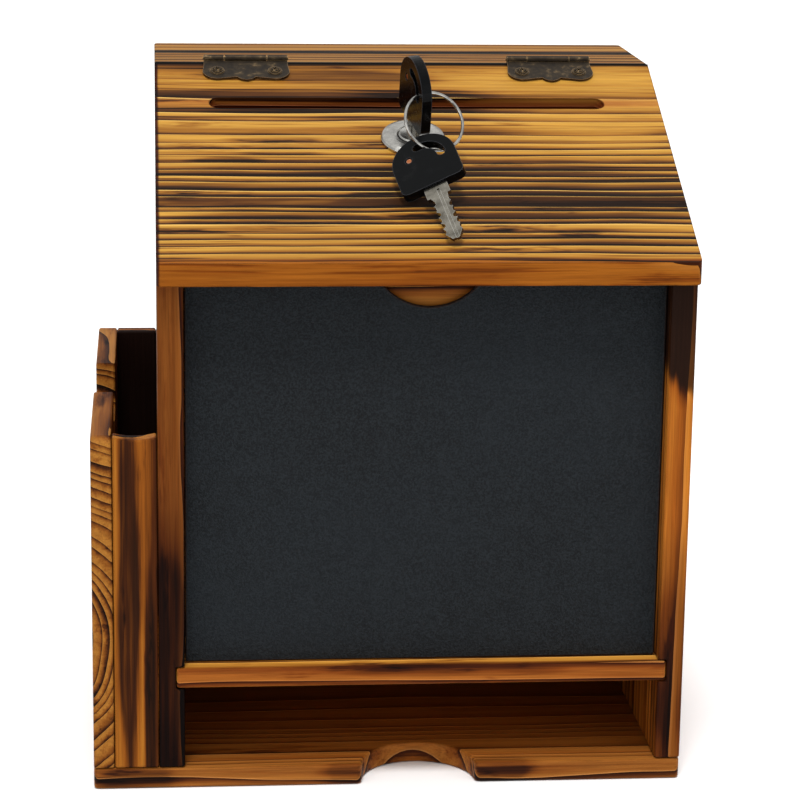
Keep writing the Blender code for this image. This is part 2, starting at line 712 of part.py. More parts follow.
def make_keys():
    """The key in the lock, the split ring through its eye, and the spare key."""
    forward = lock_direction(math.sin(KEY_TURN), -math.cos(KEY_TURN), 0.0)
    out = lock_direction(0.0, 0.0, 1.0)
    neck_stop = PLUG_TOP + GAP
    foot = lock_point(0.0, 0.0, neck_stop + KEY_NECK_L)
    place = frame_at(foot, forward, out, forward.cross(out))
    make_key("key", place, lock_point(0.0, 0.0, 0.0))

    crown = HEAD_H - HEAD_R
    at = math.radians(16)
    reach = EYE_R + 0.0004
    hung = place @ Vector((reach * math.cos(at), crown + reach * math.sin(at), 0.0))
    caught = lock_point(0.0030, -0.0275, 0.0130)
    chord = (caught - hung).normalized()
    across = Matrix.Rotation(RING_ROLL, 3, chord) @ Vector((1, 0, 0))
    across = (across - chord * across.dot(chord)).normalized()
    half = (caught - hung).length / 2
    centre = (hung + caught) / 2 + across * math.sqrt(RING_R ** 2 - half ** 2)
    ring = torus(RING_R, RING_WIRE)
    ring.transform(frame_at(centre, across, chord, across.cross(chord)))
    add_object("key_ring", ring, steel("key_ring"), hung, smooth=True)

    along = lock_direction(0.20, -0.966, -0.14)
    wide = lock_direction(0.93, 0.12, 0.43)
    wide = (wide - along * wide.dot(along)).normalized()
    at = math.radians(70)
    local = Vector((EYE_R * math.cos(at), crown + EYE_R * math.sin(at), 0.0))
    foot = caught - wide * local.x + along * local.y
    place = frame_at(foot, wide, -along, wide.cross(-along))
    make_key("spare_key", place, caught)


def main():
    clear_scene()
    make_chest()
    make_chalkboard()
    make_pocket()
    make_lid()
    for side, x in HINGE_XS.items():
        make_hinge(side, x)
    make_screws()
    make_lock()
    make_keys()


main()
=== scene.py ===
"""The donation box's looks: torched softwood, chalkboard paint, bronze hinges, lock and keys."""

import json
import math

import bmesh
import bpy
from mathutils import Matrix, Vector


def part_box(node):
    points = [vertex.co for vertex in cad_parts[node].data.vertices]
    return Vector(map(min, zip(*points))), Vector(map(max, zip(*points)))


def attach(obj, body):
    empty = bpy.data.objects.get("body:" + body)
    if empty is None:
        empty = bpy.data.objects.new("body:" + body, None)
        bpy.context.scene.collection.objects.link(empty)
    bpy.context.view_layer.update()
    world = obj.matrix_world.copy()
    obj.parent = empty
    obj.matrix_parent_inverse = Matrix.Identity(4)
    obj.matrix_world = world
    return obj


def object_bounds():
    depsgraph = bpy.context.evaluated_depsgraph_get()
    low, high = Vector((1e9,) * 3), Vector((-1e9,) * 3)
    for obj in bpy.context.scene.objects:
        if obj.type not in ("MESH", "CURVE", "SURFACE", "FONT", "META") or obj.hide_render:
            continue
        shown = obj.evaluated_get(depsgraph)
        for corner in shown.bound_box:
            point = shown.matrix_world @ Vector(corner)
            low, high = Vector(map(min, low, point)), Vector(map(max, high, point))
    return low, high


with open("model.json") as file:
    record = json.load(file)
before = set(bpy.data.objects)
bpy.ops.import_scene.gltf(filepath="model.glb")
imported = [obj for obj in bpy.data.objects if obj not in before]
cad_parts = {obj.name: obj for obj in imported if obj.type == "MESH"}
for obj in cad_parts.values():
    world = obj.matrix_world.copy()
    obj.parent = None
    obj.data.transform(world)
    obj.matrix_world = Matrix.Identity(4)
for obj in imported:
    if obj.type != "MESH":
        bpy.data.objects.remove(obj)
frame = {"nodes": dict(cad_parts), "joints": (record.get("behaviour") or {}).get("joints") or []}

CAD_BOX = [list(corner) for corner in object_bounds()]
NODES = frame["nodes"]
JOINTS = {joint["name"]: joint for joint in frame["joints"]}

# Directions and places, all from the frame.
X, Y, Z = Vector((1, 0, 0)), Vector((0, 1, 0)), Vector((0, 0, 1))
LID_NORMAL = Vector(JOINTS["lock_turn"]["axis"]).normalized()
DOWN_LID = X.cross(LID_NORMAL).normalized()
HINGE_LINE = Vector(JOINTS["lid_hinge"]["pos_m"])
LOCK = Vector(JOINTS["lock_turn"]["pos_m"])
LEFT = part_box("left_side_panel")[0].x
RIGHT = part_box("right_side_panel")[1].x
MIDDLE = LOCK.x
BASE_LOW, BASE_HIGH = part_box("base_board")
LID_LOW, LID_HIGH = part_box("lid")
POCKET_LOW, POCKET_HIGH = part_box("pocket_outer_board")
FRONT = BASE_LOW.y

# Sizes in metres.
ARRIS = 0.0011       # how far in a board's worn arrises show
BRUSHED = 0.0008     # depth of the brushed grain
RIPPLE = 0.0007      # small waves in the years' lines
LONG = 0.4           # radius of a spot that runs on past both ends of the box
THROUGH = 0.03       # radius of a spot that goes right through a board
HINGE_DARK_REACH = 0.0034  # how far the flat top is blackened on each side of the lid's joint
CAP_DARK_REACH = 0.0052    # and of the joint in front of the rear cap
FLOOR_REACH = 6.0    # from the middle of the studio floor to its sides
FLOOR_GAP = 0.0002   # between the studio floor and the box


def colour(red, green, blue):
    """An sRGB colour, 0 to 255, as the linear colour that a shader takes."""
    def linear(value):
        value /= 255.0
        return value / 12.92 if value <= 0.04045 else ((value + 0.055) / 1.055) ** 2.4
    return (linear(red), linear(green), linear(blue), 1.0)


# The wood's own tones, from unburnt early wood to charcoal, and the painted highlight on the
# crest at each year's end.
GOLD, HONEY = colour(207, 156, 70), colour(165, 110, 43)
UMBER, BURNT = colour(92, 54, 25), colour(31, 17, 9)
CHAR, CREST_HIGHLIGHT = colour(38, 28, 24), colour(240, 196, 116)

# Dyes and shades, which multiply those tones; some of them are painted shade in the tray, the
# slot, the joints and on the lid's front face.
LID_FRONT_TONE_AND_SHADE, RECESS_DARKENING = colour(200, 158, 118), colour(240, 222, 208)
SLOT_STAIN_AND_SHADE, JOINT_CHAR_AND_SHADE = colour(222, 160, 196), colour(20, 14, 11)
PANEL_FRONT_DYE, SOOT_DYE = colour(226, 220, 226), colour(158, 146, 156)
SHELF_FRONT_TONE = colour(187, 156, 154)
AMBER_SHADE = (0.52, 0.34, 0.28)


class Material:
    """One material and short names for the nodes it is made of."""

    def __init__(self, name):
        self.material = bpy.data.materials.new(name)
        self.material.use_nodes = True
        self.tree = self.material.node_tree
        self.tree.nodes.clear()
        out = self.tree.nodes.new("ShaderNodeOutputMaterial")
        self.shader = self.tree.nodes.new("ShaderNodeBsdfPrincipled")
        self.tree.links.new(self.shader.outputs[0], out.inputs["Surface"])
        self.place = self.tree.nodes.new("ShaderNodeTexCoord").outputs["Object"]

    def put(self, socket, value):
        if isinstance(value, bpy.types.NodeSocket):
            self.tree.links.new(value, socket)
        else:
            socket.default_value = value

    def set(self, name, value):
        self.put(self.shader.inputs[name], value)

    def math(self, operation, a, b=0.0, clamp=False):
        node = self.tree.nodes.new("ShaderNodeMath")
        node.operation, node.use_clamp = operation, clamp
        for socket, value in zip(node.inputs, (a, b)):
            self.put(socket, value)
        return node.outputs[0]

    def add(self, *values):
        total = values[0]
        for value in values[1:]:
            total = self.math("ADD", total, value)
        return total

    def times(self, a, b):
        return self.math("MULTIPLY", a, b)

    def vector(self, operation, a, b=(0.0, 0.0, 0.0)):
        node = self.tree.nodes.new("ShaderNodeVectorMath")
        node.operation = operation
        self.put(node.inputs[0], a)
        self.put(node.inputs[1], b)
        scalar = operation in ("DOT_PRODUCT", "LENGTH")
        return node.outputs["Value" if scalar else "Vector"]

    def join(self, x, y=0.0, z=0.0):
        node = self.tree.nodes.new("ShaderNodeCombineXYZ")
        for socket, value in zip(node.inputs, (x, y, z)):
            self.put(socket, value)
        return node.outputs[0]

    def noise(self, at, scale, detail, rough, seed):
        """Noise from 0 to 1 at a place in metres, scale in waves per metre on each axis."""
        if not isinstance(scale, tuple):
            scale = (scale, scale, scale)
        node = self.tree.nodes.new("ShaderNodeTexNoise")
        moved = self.vector("MULTIPLY", at, scale)
        moved = self.vector("ADD", moved, (seed * 3.17, seed * 1.31 + 2.0, seed * 2.43 + 5.0))
        self.put(node.inputs["Vector"], moved)
        node.inputs["Scale"].default_value = 1.0
        node.inputs["Detail"].default_value = detail
        node.inputs["Roughness"].default_value = rough
        return node.outputs["Fac"]

    def smooth(self, value, low, high, out_low=0.0, out_high=1.0, kind="SMOOTHSTEP"):
        """How far value is from low to high, given as a number from out_low to out_high."""
        node = self.tree.nodes.new("ShaderNodeMapRange")
        node.interpolation_type = kind
        for socket, number in zip(node.inputs, (value, low, high, out_low, out_high)):
            self.put(socket, number)
        return node.outputs[0]

    def mix(self, share, a, b, blend="MIX"):
        node = self.tree.nodes.new("ShaderNodeMix")
        node.data_type, node.blend_type = "RGBA", blend
        self.put(node.inputs["Factor"], share)
        self.put(node.inputs["A"], a)
        self.put(node.inputs["B"], b)
        return node.outputs["Result"]

    def ramp(self, value, stops):
        node = self.tree.nodes.new("ShaderNodeValToRGB")
        elements = node.color_ramp.elements
        while len(elements) < len(stops):
            elements.new(0.5)
        for element, (position, tone) in zip(elements, stops):
            element.position, element.color = position, tone
        self.put(node.inputs[0], value)
        return node.outputs["Color"]

    def relief(self, height, depth, strength=1.0):
        """A bump of that depth in metres, where height runs from 0 to 1."""
        node = self.tree.nodes.new("ShaderNodeBump")
        node.inputs["Strength"].default_value = strength
        node.inputs["Distance"].default_value = depth
        self.put(node.inputs["Height"], height)
        return node.outputs[0]

    def edges(self, radius):
        """1 on an arris and 0 away from it, from how far rounding would turn the surface."""
        bevel = self.tree.nodes.new("ShaderNodeBevel")
        bevel.samples = 4
        bevel.inputs["Radius"].default_value = radius
        normal = self.tree.nodes.new("ShaderNodeNewGeometry").outputs["Normal"]
        turned = self.vector("DOT_PRODUCT", bevel.outputs[0], normal)
        return self.smooth(turned, 0.995, 0.86)


class Wood(Material):
    """Torched and brushed softwood, solid through the board, so that faces and ends agree.

    along is the grain and across the wide face's other direction; pith is a point in the
    middle of the tree.
    """

    def __init__(self, name, along, across, pith, seed):
        super().__init__(name)
        self.seed = seed
        along, across = Vector(along).normalized(), Vector(across).normalized()
        # u runs along the grain, v across it, and w through the board.
        here = self.vector("SUBTRACT", self.place, tuple(pith))
        self.u, self.v, self.w = [self.vector("DOT_PRODUCT", here, tuple(way))
                                  for way in (along, across, along.cross(across))]
        self.grain = self.join(self.u, self.v, self.w)

    def figure(self, scale, detail, rough, shift):
        """Noise from 0 to 1 in the board's own directions, scale in waves per metre on each."""
        return self.noise(self.grain, scale, detail, rough, self.seed + shift)

    def swing(self, scale, detail, rough, shift):
        """The same noise with its middle at 0."""
        return self.math("SUBTRACT", self.figure(scale, detail, rough, shift), 0.5)

    def spots(self, spots, shift, fray=1.0):
        """How much a place lies in any of the spots, with streaky borders along the grain."""
        if not spots:
            return None
        frayed = self.times(self.swing((16, 190, 190), 3, 0.6, shift + 51.0), 0.45 * fray)
        broad = self.times(self.swing((14, 30, 30), 2, 0.5, shift + 53.0), 0.8 * fray)
        total = None
        for centre, radii, amount in spots:
            off = self.vector("SUBTRACT", self.place, tuple(centre))
            off = self.vector("DIVIDE", off, tuple(radii))
            far = self.add(self.vector("LENGTH", off), frayed, broad)
            inside = self.smooth(far, 1.15, 0.55, 0.0, amount)
            total = inside if total is None else self.math("MAXIMUM", total, inside)
        return total

    def grow(self, ring, wander):
        """Rings about the pith: which year a place grew in, and how late in that year."""
        self.v = self.add(self.v, self.times(self.swing((5, 14, 14), 2, 0.5, 0.0), wander * 2),
                          self.times(self.swing((24, 120, 120), 2, 0.55, 7.1), RIPPLE))
        self.w = self.add(self.w, self.times(self.swing((4, 12, 12), 2, 0.5, 3.3), wander * 2))
        square = self.add(self.times(self.v, self.v), self.times(self.w, self.w))
        years = self.math("DIVIDE", self.math("SQRT", square), ring)
        uneven = self.noise(self.join(years), 0.55, 1, 0.5, self.seed + 1.7)
        years = self.add(years, self.times(uneven, 2.2))
        self.season = self.math("FRACT", years)
        self.year = self.math("FLOOR", years)

    def torch(self, burn, patches, bare_and_painted_light):
        """How much heat a place took, from 0 to 1: unevenly, more in patches, less in the unburnt
        spots, one of which is painted light on the tray's lit strip.
        """
        by_year = self.join(self.times(self.year, 0.731), self.times(self.u, 2.5))
        by_year = self.noise(by_year, 1.0, 1, 0.5, self.seed + 23.0)
        # The three noises add up to 1.05 on average, which leaves burn as the mean heat.
        heat = self.add(self.times(self.figure((9, 34, 34), 3, 0.6, 11.0), 0.45),
                        self.times(self.figure((3.2, 15, 15), 2, 0.5, 17.0), 0.75),
                        self.times(by_year, 0.9), burn - 1.05)
        self.torched = self.spots(patches, 0.0)
        spared_and_lit = self.spots(bare_and_painted_light, 5.0)
        if self.torched is not None:
            heat = self.add(heat, self.times(self.torched, 0.8))
        if spared_and_lit is not None:
            heat = self.math("SUBTRACT", heat, spared_and_lit)
        self.heat = self.math("MINIMUM", self.math("MAXIMUM", heat, 0.0), 1.0)

    def darken(self, strands):
        """How dark a place burnt: a band at each year's end, smudges, and fine dark lines."""
        heat = self.heat
        self.fibre = self.figure((28, 1500, 1500), 3, 0.62, 29.0)
        self.streak = self.figure((11, 330, 330), 3, 0.6, 31.0)
        self.unsteady = self.math("SUBTRACT", self.streak, 0.5)
        # Late wood darkens towards the end of its year, over a wider band where it was hotter.
        sharp = self.smooth(heat, 0.0, 1.0, 3.4, 0.34, "LINEAR")
        self.late = self.math("POWER", self.season, sharp)
        band = self.times(self.late, self.smooth(heat, 0.0, 0.75, 0.42, 1.0, "LINEAR"))
        smudge = self.smooth(self.figure((17, 120, 120), 4, 0.65, 37.0), 0.56, 0.76)
        smudge = self.times(smudge, self.smooth(heat, 0.05, 0.65, 0.16, 0.70))
        strand = self.noise(self.join(self.u, self.v, self.w), (3.0, 560, 560), 2, 0.55,
                            self.seed + 43.0)
        strand = self.times(self.smooth(strand, 0.54, 0.68),
                            self.smooth(heat, 0.0, 0.6, 0.16 * strands, 0.42 * strands))
        self.deep = self.math("ADD", self.add(band, smudge, strand),
                              self.times(self.unsteady, 0.60), clamp=True)

    def tint(self, char_level, crest_highlight):
        """The wood's tone, with charcoal in the patches and a painted highlight on the crest at
        each year's end.
        """
        tone = self.ramp(self.deep, [(0.0, GOLD), (0.27, HONEY), (0.56, UMBER), (0.86, BURNT)])
        # The crest's light colour is a painted highlight, for light catching the brushed relief.
        crest = self.times(self.smooth(self.season, 0.10, 0.0),
                           self.smooth(self.heat, 0.0, 0.45, 0.45 * crest_highlight, crest_highlight))
        if self.torched is not None:
            black = self.add(self.torched, self.times(self.unsteady, 0.5))
            black = self.smooth(black, 0.30, char_level)
            black = self.times(black, self.smooth(self.late, 0.0, 0.6, 0.86, 1.0))
            tone = self.mix(black, tone, CHAR)
            crest = self.times(crest, self.smooth(black, 0.15, 0.6, 1.0, 0.0))
        return self.mix(crest, tone, CREST_HIGHLIGHT)

    def finish(self, tone, shade, stains_and_painted_shade):
        """Scorched arrises, the finish's own shade with the fibres in it, and the stains, some of
        them painted shade.
        """
        ragged = self.smooth(self.figure((60, 200, 200), 2, 0.6, 41.0), 0.34, 0.58)
        scorched = self.times(self.times(self.edges(ARRIS), ragged), 0.68)
        tone = self.mix(scorched, tone, BURNT)
        lightness = self.smooth(self.fibre, 0.25, 0.75, 0.72, 1.20, "LINEAR")
        lightness = self.join(*[self.times(lightness, part) for part in shade])
        tone = self.mix(1.0, tone, lightness, "MULTIPLY")
        for centre, radii, amount, dye_and_painted_shade, fray in stains_and_painted_shade:
            where = self.spots([(centre, radii, amount)], 9.0, fray)
            tone = self.mix(where, tone, dye_and_painted_shade, "MULTIPLY")
        return tone

    def brushed(self, depth):
        """The brush wears the early wood down, and leaves a crest at the end of each year."""
        crest = self.math("SUBTRACT", self.math("POWER", self.season, 1.8),
                          self.smooth(self.season, 0.0, 0.06, 0.0, 0.35))
        height = self.add(self.times(crest, 0.8), self.times(self.fibre, 0.16),
                          self.times(self.streak, 0.12))
        return self.relief(height, depth, 0.9)


def wood(name, along, across, pith, ring, burn, seed, shade, wander=0.004, patches=(), bare_and_painted_light=(),
         stains_and_painted_shade=(), char_level=0.72, crest_highlight=0.7, relief=BRUSHED, strands=0.3):
    """A board's material.

    ring is the width of a year and wander how far the rings stray. patches are (centre, radii,
    how much) of deep charring, and spots left unburnt are given the same way, one of which paints
    light on the tray's lit strip. stains are (centre, radii, how much, multiplying colour,
    fraying), some of them painted shade. A patch is charcoal where its strength reaches
    char_level. The crest highlight is how bright the painted highlight on the crests is, relief
    the depth of the brushed grain, and strands how much the fine dark lines show.
    """
    board = Wood(name, along, across, pith, seed)
    board.grow(ring, wander)
    board.torch(burn, patches, bare_and_painted_light)
    board.darken(strands)
    board.set("Base Color", board.finish(board.tint(char_level, crest_highlight), shade, stains_and_painted_shade))
    board.set("Roughness", board.add(board.times(board.deep, 0.12),
                                     board.times(board.fibre, 0.16), 0.34))
    board.set("Specular IOR Level", 0.05)
    board.set("Normal", board.brushed(relief))
    return board.material


def paint(node, material):
    mesh = NODES[node].data
    mesh.materials.clear()
    mesh.materials.append(material)


def charred_and_shaded_joint(y, radius):
    """The black along a joint that runs across the flat top, as a stain: char, and painted shade
    of the gap between the boards.
    """
    return (Vector((MIDDLE, y, LID_HIGH.z)), (LONG, radius, 0.007), 1.0, JOINT_CHAR_AND_SHADE, 0.2)


def dress_lid():
    """Gold above the slot and to the right, and dark lower down, with smudges by the lock."""
    edge = Vector((HINGE_LINE.x, LID_HIGH.y, HINGE_LINE.z))
    slot = edge + X * 0.0136 + DOWN_LID * 0.0346
    slot_walls = slot - LID_NORMAL * 0.0068
    pith = edge + DOWN_LID * 0.016 - LID_NORMAL * 0.050
    front_face = Vector((MIDDLE, LID_LOW.y, LID_LOW.z + 0.004))
    left_end = Vector((LID_LOW.x, 0.0, 0.27))
    # Patches: three broad ones below the lock, three small ones to the left of it, two along
    # the slot, and one near the rear edge.
    paint("lid", wood(
        "lid_pine", X, DOWN_LID, pith, ring=0.0047, burn=0.43, seed=1.0,
        shade=(0.80, 0.77, 0.66), char_level=1.7, crest_highlight=0.95, strands=1.0,
        patches=[(LOCK + DOWN_LID * 0.043 + X * 0.055, (0.15, 0.029, 0.03), 0.58),
                 (LOCK + DOWN_LID * 0.038 - X * 0.05, (0.10, 0.018, 0.03), 0.50),
                 (LOCK + DOWN_LID * 0.062 - X * 0.06, (0.06, 0.008, 0.02), 0.58),
                 (LOCK - DOWN_LID * 0.001 - X * 0.062, (0.024, 0.0040, 0.008), 0.52),
                 (LOCK + DOWN_LID * 0.010 - X * 0.058, (0.020, 0.0034, 0.008), 0.46),
                 (LOCK + DOWN_LID * 0.017 - X * 0.082, (0.018, 0.0034, 0.008), 0.42),
                 (slot - DOWN_LID * 0.0075 - X * 0.03, (0.12, 0.0045, 0.01), 0.38),
                 (slot + DOWN_LID * 0.009 - X * 0.01, (0.09, 0.0055, 0.01), 0.40),
                 (edge + DOWN_LID * 0.014 - X * 0.01, (0.05, 0.007, 0.01), 0.50)],
        bare_and_painted_light=[(edge + X * 0.095 + DOWN_LID * 0.034, (0.060, 0.038, 0.05), 0.38),
              (edge - X * 0.05 + DOWN_LID * 0.060, (0.06, 0.016, 0.05), 0.16),
              (front_face, (LONG, 0.0038, 0.02), 0.32)],
        # The lid's front face is darker and redder, partly its own tone and partly painted shade;
        # the slot's walls are red-brown and darker, a stain and painted shade; the black at the
        # hinge joint is char and painted shade of the gap.
        stains_and_painted_shade=[(front_face, (LONG, 0.0035, 0.02), 1.0, LID_FRONT_TONE_AND_SHADE, 0.1),
                (slot_walls, (0.3, 0.0068, 0.0062), 1.0, SLOT_STAIN_AND_SHADE, 0.2),
                (left_end, (0.0017, 0.3, 0.3), 1.0, UMBER, 0.6),
                charred_and_shaded_joint(HINGE_LINE.y, HINGE_DARK_REACH)]))


def dress_top():
    """The two strips behind the lid, dark along the joint between them and at the hinges with
    char and painted shade of the gaps.
    """
    between = (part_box("top_rail")[1].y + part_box("rear_cap")[0].y) / 2
    paint("top_rail", wood(
        "rail_pine", X, Y, (0.0, 0.02, 0.22), ring=0.0045, burn=0.56, seed=4.0,
        shade=(0.52, 0.46, 0.42), strands=1.0,
        stains_and_painted_shade=[charred_and_shaded_joint(between, CAP_DARK_REACH), charred_and_shaded_joint(HINGE_LINE.y, HINGE_DARK_REACH)]))
    paint("rear_cap", wood(
        "cap_pine", X, Y, (0.0, 0.04, 0.2), ring=0.0075, burn=0.30, seed=6.0,
        shade=(0.62, 0.54, 0.46), stains_and_painted_shade=[charred_and_shaded_joint(between, CAP_DARK_REACH)]))


def dress_sides():
    """Both panels have soot low down at the front, and the right one is charred at the top."""
    core = 0.005  # from a panel's outer face to about the middle of its thickness
    paint("left_side_panel", wood(
        "left_panel_pine", Z, Y, (LEFT + 0.055, 0.01, 0.0), ring=0.0062, burn=0.46, seed=8.0,
        shade=(0.37, 0.22, 0.165),
        patches=[((LEFT + 0.004, FRONT, 0.04), (THROUGH, 0.05, 0.085), 0.56),
                 ((LEFT, FRONT + 0.13, 0.2), (THROUGH, 0.022, 0.11), 0.6)],
        bare_and_painted_light=[((LEFT + core, FRONT, 0.14), (THROUGH, 0.005, 0.16), 0.22)],
        stains_and_painted_shade=[((LEFT + core, FRONT, 0.14), (THROUGH, 0.004, LONG), 1.0, PANEL_FRONT_DYE, 0.1),
                ((LEFT + core, FRONT, 0.03), (THROUGH, 0.012, 0.105), 0.85, SOOT_DYE, 0.35)]))
    paint("right_side_panel", wood(
        "right_panel_pine", Z, Y, (RIGHT - 0.0575, 0.0, 0.0), ring=0.0062, burn=0.36, seed=12.0,
        shade=(0.74, 0.46, 0.29),
        patches=[((RIGHT, FRONT, 0.208), (THROUGH, 0.030, 0.038), 0.86),
                 ((RIGHT, FRONT, 0.050), (THROUGH, 0.03, 0.045), 0.38),
                 ((RIGHT, FRONT + 0.13, 0.12), (THROUGH, 0.024, 0.13), 0.5)],
        bare_and_painted_light=[((RIGHT - core, FRONT, 0.12), (THROUGH, 0.005, 0.09), 0.30)],
        stains_and_painted_shade=[((RIGHT - core, FRONT, 0.035), (THROUGH, 0.012, 0.075), 0.85, SOOT_DYE, 0.35)]))


def dress_chest():
    """The back, the panel behind the chalkboard, the shelf, and the batten under the lid."""
    paint("back_panel", wood(
        "back_pine", Z, X, (0.03, 0.09, 0.0), ring=0.0062, burn=0.44, seed=15.0,
        shade=AMBER_SHADE))
    paint("front_panel", wood(
        "front_pine", X, Z, (0.0, 0.0, 0.1), ring=0.005, burn=0.4, seed=18.0,
        shade=(0.6, 0.42, 0.36)))
    shelf_front = Vector((MIDDLE, FRONT - 0.0012, 0.05))
    # The shelf is lightened all over as painted light on its lit top ledge, and its front face is
    # darkened back to its own tone.
    paint("divider_shelf", wood(
        "shelf_pine", X, Y, (0.0, -0.03, -0.02), ring=0.0062, burn=0.44, seed=21.0,
        shade=(1.06, 0.90, 0.72), patches=[((0.02, FRONT, 0.05), (0.06, 0.02, 0.004), 0.4)],
        stains_and_painted_shade=[(shelf_front, (LONG, 0.0024, 0.04), 1.0, SHELF_FRONT_TONE, 0.0)]))
    paint("catch_batten", wood(
        "batten_pine", X, DOWN_LID, (0.0, 0.0, 0.2), ring=0.005, burn=0.2, seed=36.0,
        shade=(0.70, 0.58, 0.46)))


def dress_base():
    """Burnt at the left end and beside the cut-out, plainer on the tray's floor, with painted
    light on the floor's front strip and a stain with painted shade further in.
    """
    tray = Vector((MIDDLE, 0.04, BASE_HIGH.z))
    paint("base_board", wood(
        "base_pine", X, Y, (0.0, 0.0, -0.06), ring=0.0056, burn=0.32, seed=24.0,
        shade=(0.52, 0.35, 0.32),
        patches=[((-0.108, FRONT, 0.004), (0.022, 0.012, 0.012), 0.42),
                 ((-0.016, FRONT, 0.006), (0.020, 0.010, 0.012), 0.40),
                 ((0.048, FRONT, 0.006), (0.018, 0.010, 0.014), 0.44)],
        bare_and_painted_light=[((-0.06, FRONT, 0.0), (0.05, 0.012, 0.004), 0.35),
              ((MIDDLE, FRONT + 0.09, BASE_HIGH.z), (0.2, 0.082, 0.004), 0.40),
              # The unburnt spot along the floor's front edge is painted light on its lit strip.
              ((MIDDLE, FRONT + 0.006, BASE_HIGH.z), (0.2, 0.012, 0.003), 0.45)],
        # Further in, the floor is darkened by a stain and by painted shade under the shelf.
        stains_and_painted_shade=[(tray, (0.2, 0.142, 0.01), 1.0, RECESS_DARKENING, 0.25)]))


def dress_pocket():
    """End-grain arcs on the outer board, darker in its notch, a dark stripe on the front one, and
    the back board darker deep in the pocket.
    """
    left = POCKET_LOW.x
    notch = Vector((left + 0.004, 0.0055, POCKET_HIGH.z))
    paint("pocket_outer_board", wood(
        "pocket_outer_pine", Y, Z, (left - 0.032, 0.0, 0.066), ring=0.0036, burn=0.40, seed=27.0,
        shade=(0.56, 0.42, 0.36), wander=0.010, crest_highlight=0.3, relief=BRUSHED / 2,
        # The notch is darkened.
        stains_and_painted_shade=[(notch, (0.02, 0.0305, 0.025), 1.0, RECESS_DARKENING, 0.0)]))
    stripe = left + 0.0155
    paint("pocket_front_board", wood(
        "pocket_front_pine", Z, X, (left + 0.014, FRONT + 0.020, 0.0), ring=0.0090, burn=0.50,
        seed=30.0, shade=(0.60, 0.41, 0.26), wander=0.005, char_level=0.9,
        patches=[((stripe, FRONT, 0.09), (0.0058, 0.02, 0.12), 0.60),
                 ((stripe + 0.0088, FRONT, 0.04), (0.0030, 0.02, 0.08), 0.58)]))
    cavity = Vector((left + 0.018, POCKET_HIGH.y - 0.009, 0.11))
    paint("pocket_back_board", wood(
        "pocket_back_pine", Z, X, (left + 0.016, 0.08, 0.0), ring=0.006, burn=0.5, seed=33.0,
        # The back board is darker deep inside the pocket.
        shade=AMBER_SHADE, patches=[(cavity, (0.04, 0.0035, 0.12), 1.0)]))


def glue_and_shade_line(name, low, high, material):
    """The dark glue in a joint between two boards, which is also painted shade of the gap: a bar
    with drawn-in ends, proud of neither.
    """
    mesh = bmesh.new()
    bmesh.ops.create_cube(mesh, size=1.0)
    low, high = Vector(low), Vector(high)
    for corner in mesh.verts:
        corner.co = Vector((c + 0.5) * size for c, size in zip(corner.co, high - low)) + low
    bmesh.ops.bevel(mesh, geom=mesh.edges[:], offset=min(high - low) * 0.2, segments=2,
                    profile=0.5, affect="EDGES")
    data = bpy.data.meshes.new(name)
    mesh.to_mesh(data)
    mesh.free()
    data.materials.append(material)
    strip = bpy.data.objects.new(name, data)
    bpy.context.scene.collection.objects.link(strip)
    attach(strip, "box")


def fill_joints():
    """Dark glue, also painted shade of the gaps, in front of the rear cap, and on both sides of
    the pocket's back board.
    """
    m = Material("glue_and_gap_shade")
    m.set("Base Color", m.mix(m.noise(m.place, 900, 3, 0.6, 2.0), colour(20, 14, 11),
                              colour(44, 28, 18)))
    m.set("Roughness", m.smooth(m.noise(m.place, 2000, 2, 0.5, 3.0), 0.2, 0.8, 0.6, 0.85))
    m.set("Specular IOR Level", 0.15)
    shy = 0.001  # how far the glue stops short of the boards' faces
    rail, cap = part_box("top_rail"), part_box("rear_cap")
    glue_and_shade_line("cap_joint", (cap[0].x + shy, rail[1].y, rail[0].z + shy),
              (cap[1].x - shy, cap[0].y, rail[1].z - shy / 2), m.material)
    low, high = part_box("pocket_back_board")
    for name, x0, x1 in (("outer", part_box("pocket_outer_board")[1].x, low.x),
                         ("inner", high.x, LEFT)):
        glue_and_shade_line("pocket_back_joint_" + name, (x0, low.y + shy, low.z),
                  (x1, high.y - shy, high.z - shy), m.material)


def chalkboard_paint():
    """Blue-black paint with a fine peel, a little dust, and an edge rubbed through to the wood.
    """
    m = Material("chalkboard_paint_film")
    at = m.place
    peel = m.noise(at, 1400, 4, 0.6, 2.0)
    dimple = m.noise(at, 2600, 2, 0.5, 4.0)
    cloud = m.noise(at, 14, 3, 0.55, 6.0)
    dust = m.smooth(m.noise(at, (70, 70, 34), 4, 0.7, 9.0), 0.52, 0.78)
    speck = m.smooth(m.noise(at, 420, 1, 0.5, 12.0), 0.80, 0.86)
    tone = m.mix(m.smooth(cloud, 0.3, 0.7), colour(11, 14, 17), colour(19, 23, 27))
    tone = m.mix(m.times(dust, 0.30), tone, colour(36, 40, 44))
    tone = m.mix(m.smooth(peel, 0.37, 0.66, 0.0, 0.64), tone, colour(39, 45, 49))
    tone = m.mix(m.times(speck, 0.3), tone, colour(84, 86, 86))
    tone = m.mix(m.times(m.edges(0.0006), 0.5), tone, colour(96, 60, 40))
    m.set("Base Color", tone)
    m.set("Roughness", m.smooth(cloud, 0.2, 0.8, 0.56, 0.70, "LINEAR"))
    m.set("Specular IOR Level", 0.16)
    m.set("Normal", m.relief(m.add(m.times(peel, 0.8), m.times(dimple, 0.25)), 0.0012))
    return m.material


